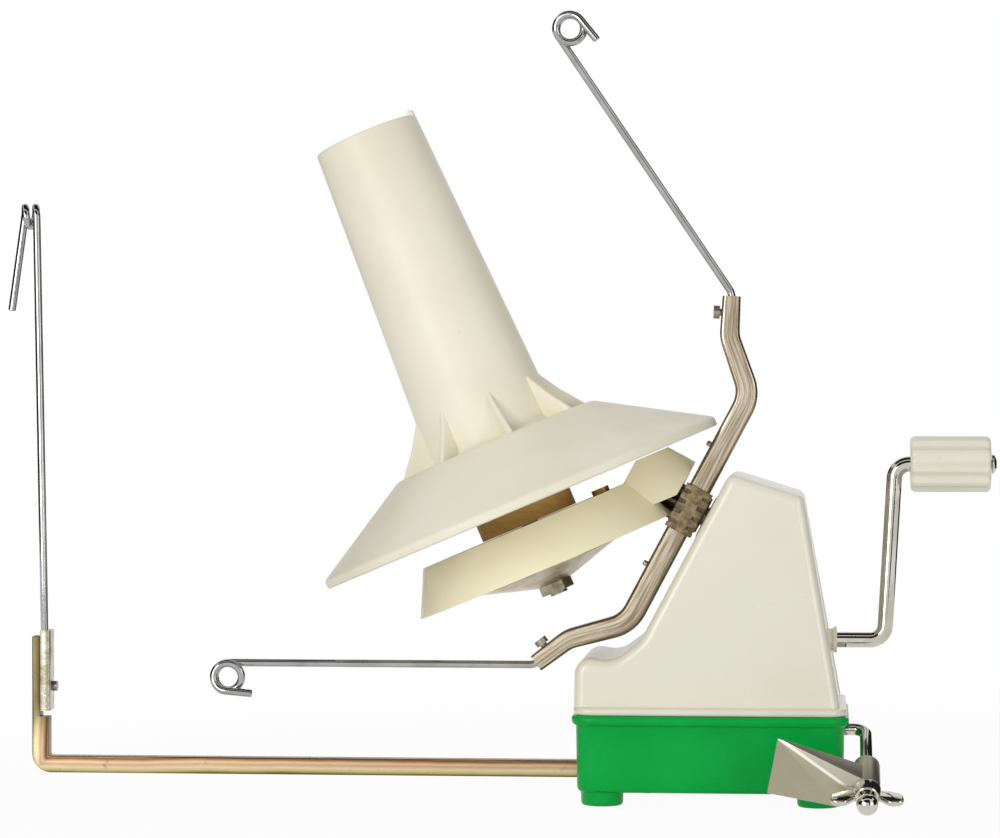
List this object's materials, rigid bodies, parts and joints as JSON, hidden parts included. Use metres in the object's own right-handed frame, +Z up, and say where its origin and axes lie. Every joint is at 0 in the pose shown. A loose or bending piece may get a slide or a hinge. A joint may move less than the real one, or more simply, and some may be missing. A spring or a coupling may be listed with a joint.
{
  "type": "yarn ball winder",
  "caption": "Hand-cranked yarn ball winder: geared flyer with wire eyes turning round a tilted spool, on a boxy base with a table clamp and a sliding yarn guide.",
  "frame": {"origin": "middle of the plane that the feet stand on, on the face of the tub's middle pad", "axes": "+X along the crank shaft towards the handle, +Y to the back of the housing, +Z up"},
  "size_m": [0.3318, 0.1424, 0.2627],
  "materials": {
    "green_plastic": "gloss",
    "cream_plastic": "gloss",
    "pale_plastic": "satin gloss, yellowed",
    "knob_plastic": "gloss, fluted",
    "brown_plastic": "satin",
    "tan_board": "matt laminate",
    "bronze": "oiled",
    "steel": "bright zinc",
    "chrome_rod": "polished",
    "chrome_wire": "polished",
    "nickel_sheet": "aged nickel",
    "zinc_bar": "yellow zinc"
  },
  "bodies": {
    "frame": {"base_tub": "green_plastic", "housing_shell": "cream_plastic", "rear_cover": "cream_plastic", "cover_screws": "steel", "base_screws": "steel", "crank_bush": "pale_plastic", "flyer_bush": "bronze", "main_shaft": "steel", "carrier_dish": "pale_plastic", "carrier_bush": "bronze", "carrier_screw": "steel"},
    "crank": {"crank_handle": "chrome_rod", "crank_gear": "brown_plastic", "crank_collar": "steel", "knob_rivet": "steel"},
    "knob": {"crank_knob": "knob_plastic"},
    "flyer": {"flyer_sleeve": "steel", "inner_pinion": "brown_plastic", "flyer_hub": "brown_plastic", "flyer_bar": "nickel_sheet", "bar_rivets": "steel", "wire_screws": "steel", "flyer_wire_upper": "chrome_wire", "flyer_wire_lower": "chrome_wire"},
    "spool_body": {"spool": "cream_plastic", "flange_floor": "cream_plastic", "spool_disc": "tan_board", "spool_axle": "steel", "spool_gear": "cream_plastic", "gear_plate": "steel", "axle_nuts": "steel"},
    "guide": {"guide_bar": "zinc_bar", "guide_wire": "chrome_wire", "guide_clip": "zinc_bar", "guide_screw": "steel"},
    "clamp": {"clamp_rod": "steel"},
    "jaw": {"clamp_jaw": "nickel_sheet"},
    "nut": {"wing_nut": "chrome_rod"}
  },
  "joints": [
    {"name": "crank_spin", "type": "hinge", "parent": "frame", "child": "crank", "pos_m": [0.0227, 0, 0.0533], "axis": [1, 0, 0], "continuous": true},
    {"name": "knob_spin", "type": "hinge", "parent": "crank", "child": "knob", "pos_m": [0.0792, 0, 0.112], "axis": [1, 0, 0], "continuous": true},
    {"name": "flyer_spin", "type": "hinge", "parent": "frame", "child": "flyer", "pos_m": [-0.0075, 0, 0.097], "axis": [-0.8829, 0, 0.4695], "continuous": true},
    {"name": "spool_spin", "type": "hinge", "parent": "frame", "child": "spool_body", "pos_m": [-0.05608, 0, 0.07951], "axis": [-0.3907, 0, 0.9205], "continuous": true},
    {"name": "guide_slide", "type": "slide", "parent": "frame", "child": "guide", "axis": [1, 0, 0], "range_m": [0, 0.04]},
    {"name": "clamp_swing", "type": "hinge", "parent": "frame", "child": "clamp", "pos_m": [0.042, -0.022, 0.0254], "axis": [1, 0, 0], "range_deg": [0, 67]},
    {"name": "jaw_slide", "type": "slide", "parent": "clamp", "child": "jaw", "axis": [0, 0.9205, 0.3907], "range_m": [0, 0.003]},
    {"name": "nut_turn", "type": "hinge", "parent": "jaw", "child": "nut", "pos_m": [0.051, -0.06002, 0.00926], "axis": [0, 0.9205, 0.3907], "range_deg": [0, 1080]}
  ],
  "couplings": [
    {"joint": "flyer_spin", "follows": "crank_spin", "ratio": 3},
    {"joint": "spool_spin", "follows": "crank_spin", "ratio": -0.375},
    {"joint": "nut_turn", "follows": "jaw_slide", "rad_per_m": 6283.2}
  ]
}
